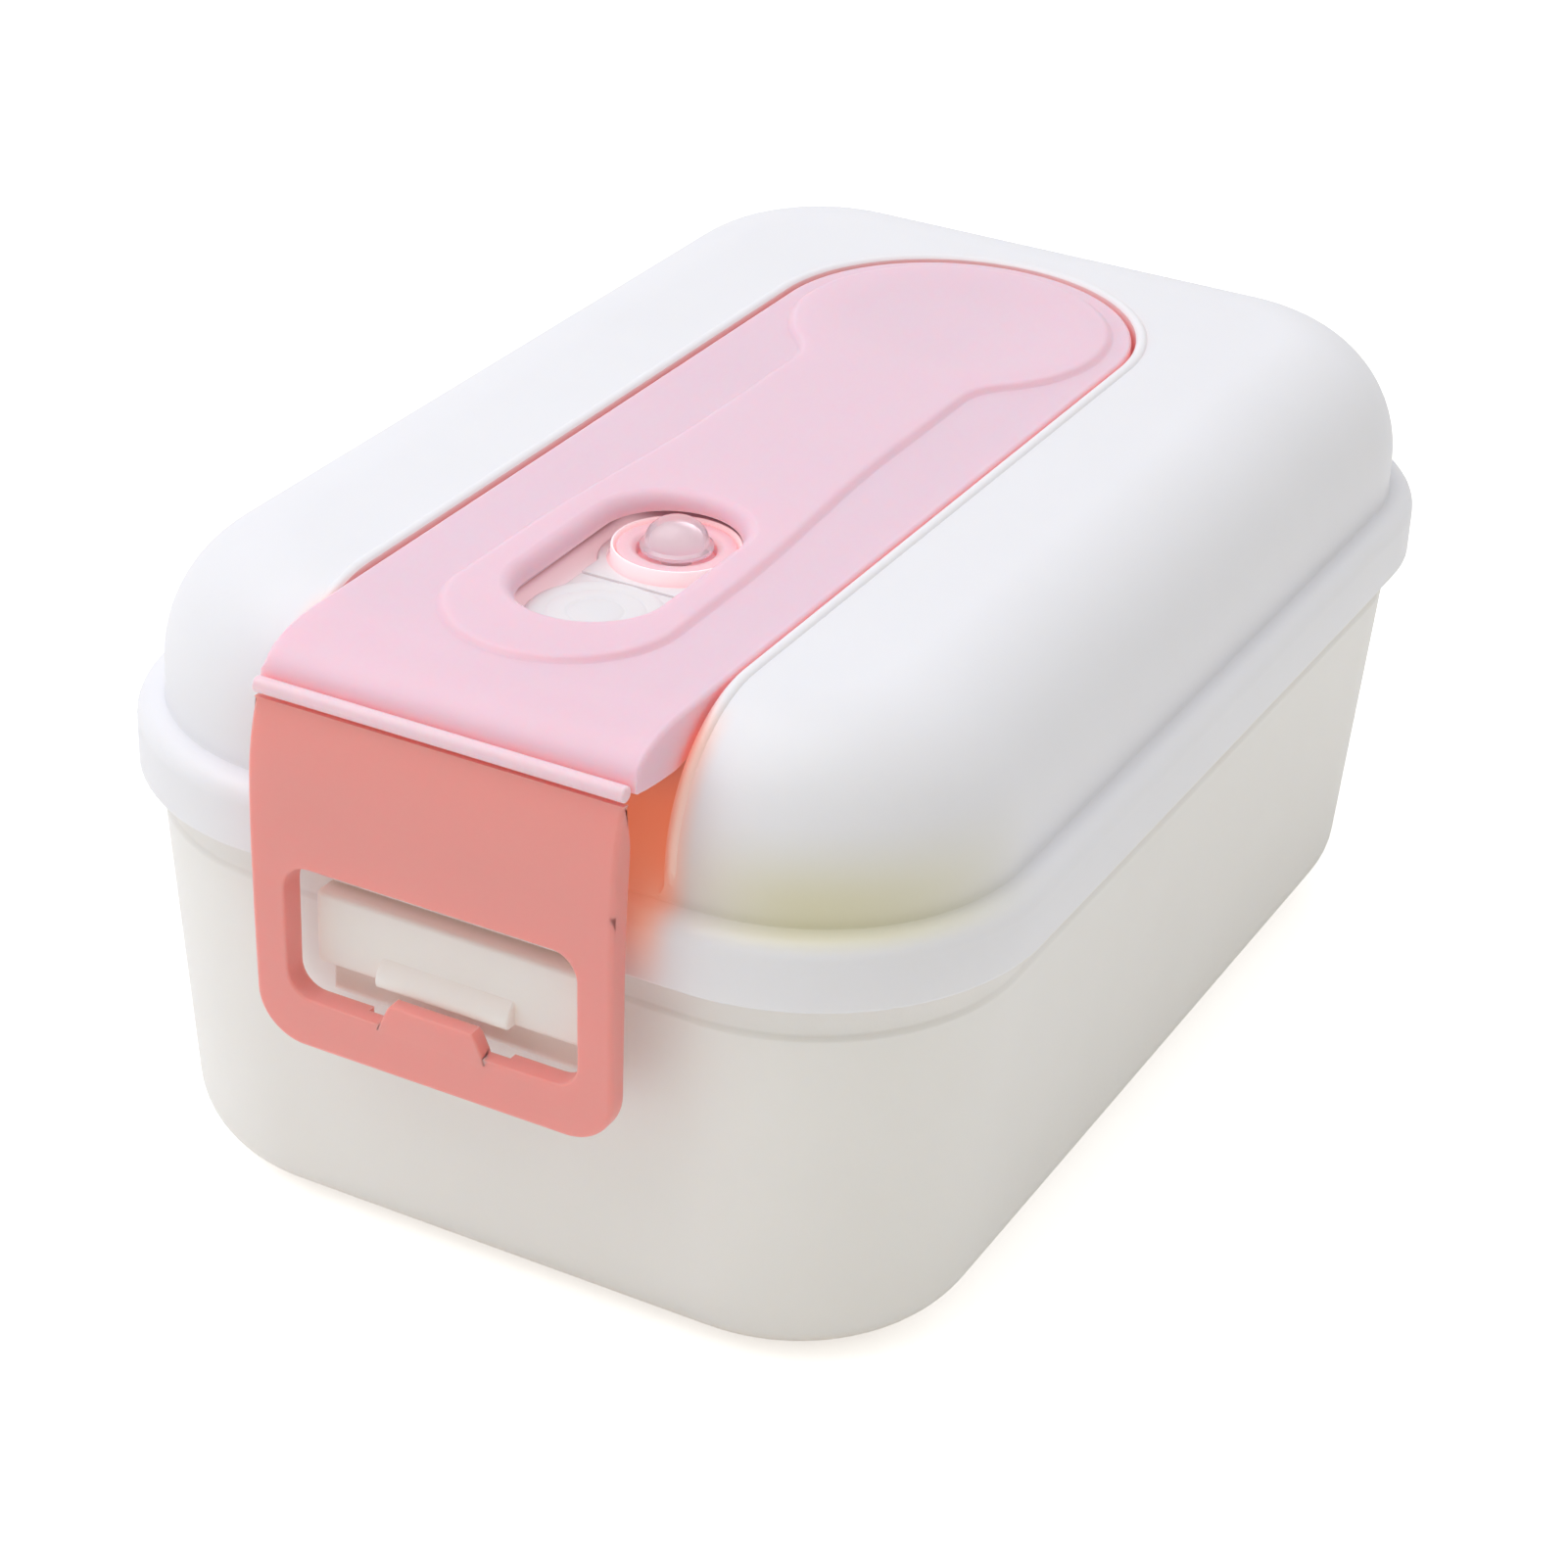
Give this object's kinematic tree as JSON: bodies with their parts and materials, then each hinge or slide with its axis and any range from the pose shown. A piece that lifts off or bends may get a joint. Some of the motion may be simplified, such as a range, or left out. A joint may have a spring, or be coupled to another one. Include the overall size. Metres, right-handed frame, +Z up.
{
  "type": "bento lunch box",
  "caption": "Rounded rectangular lunch box with a hinged domed lid, front latch flap, strap cover over a cutlery well, press valve, steam plug and divided inner tray.",
  "frame": {"origin": "middle of the base, on the surface that the box stands on", "axes": "+Z up out of the lid, +Y from the latch to the hinge, +X to the right seen from the latch"},
  "size_m": [0.14, 0.2184, 0.1002],
  "materials": {
    "frosted_polypropylene": "frosted, slightly translucent",
    "tray_plastic": "satin",
    "divider_plastic": "satin",
    "pin_steel": "polished",
    "lid_plastic": "satin",
    "seal_silicone": "soft matte",
    "valve_silicone": "soft matte",
    "tether_silicone": "soft translucent",
    "spoon_plastic": "gloss",
    "fork_plastic": "gloss",
    "strap_plastic": "satin",
    "strip_plastic": "satin",
    "flap_plastic": "satin",
    "button_clear": "clear, glossy",
    "stem_plastic": "satin",
    "washer_silicone": "soft matte",
    "plug_silicone": "soft translucent"
  },
  "bodies": {
    "box": {"box_body": "frosted_polypropylene", "inner_tray": "tray_plastic", "tray_divider": "divider_plastic", "hinge_pin": "pin_steel"},
    "lid": {"lid_shell": "lid_plastic", "lid_seal": "seal_silicone", "valve_ring": "valve_silicone", "tether_anchor": "tether_silicone", "spoon": "spoon_plastic", "fork": "fork_plastic"},
    "strap": {"strap_cover": "strap_plastic", "hinge_strip": "strip_plastic"},
    "flap": {"latch_flap": "flap_plastic"},
    "valve": {"valve_button": "button_clear", "valve_stem": "stem_plastic", "valve_washer": "washer_silicone"},
    "plug": {"steam_plug": "plug_silicone"}
  },
  "joints": [
    {"name": "lid_hinge", "type": "hinge", "parent": "box", "child": "lid", "pos_m": [0, 0.106, 0.063], "axis": [-1, 0, 0], "range_deg": [0, 105]},
    {"name": "strap_lift", "type": "slide", "parent": "lid", "child": "strap", "axis": [0, 0, 1], "range_m": [0, 0.04]},
    {"name": "latch_hinge", "type": "hinge", "parent": "strap", "child": "flap", "pos_m": [0, -0.1061, 0.09335], "axis": [-1, 0, 0], "range_deg": [-2.5, 150]},
    {"name": "valve_press", "type": "slide", "parent": "lid", "child": "valve", "axis": [0, 0, -1], "range_m": [0, 0.0015], "stiffness_N_per_m": 400, "springref_m": -0.0005},
    {"name": "plug_hinge", "type": "hinge", "parent": "lid", "child": "plug", "pos_m": [0, -0.0557, 0.0936], "axis": [-1, 0, 0], "range_deg": [0, 85]}
  ]
}
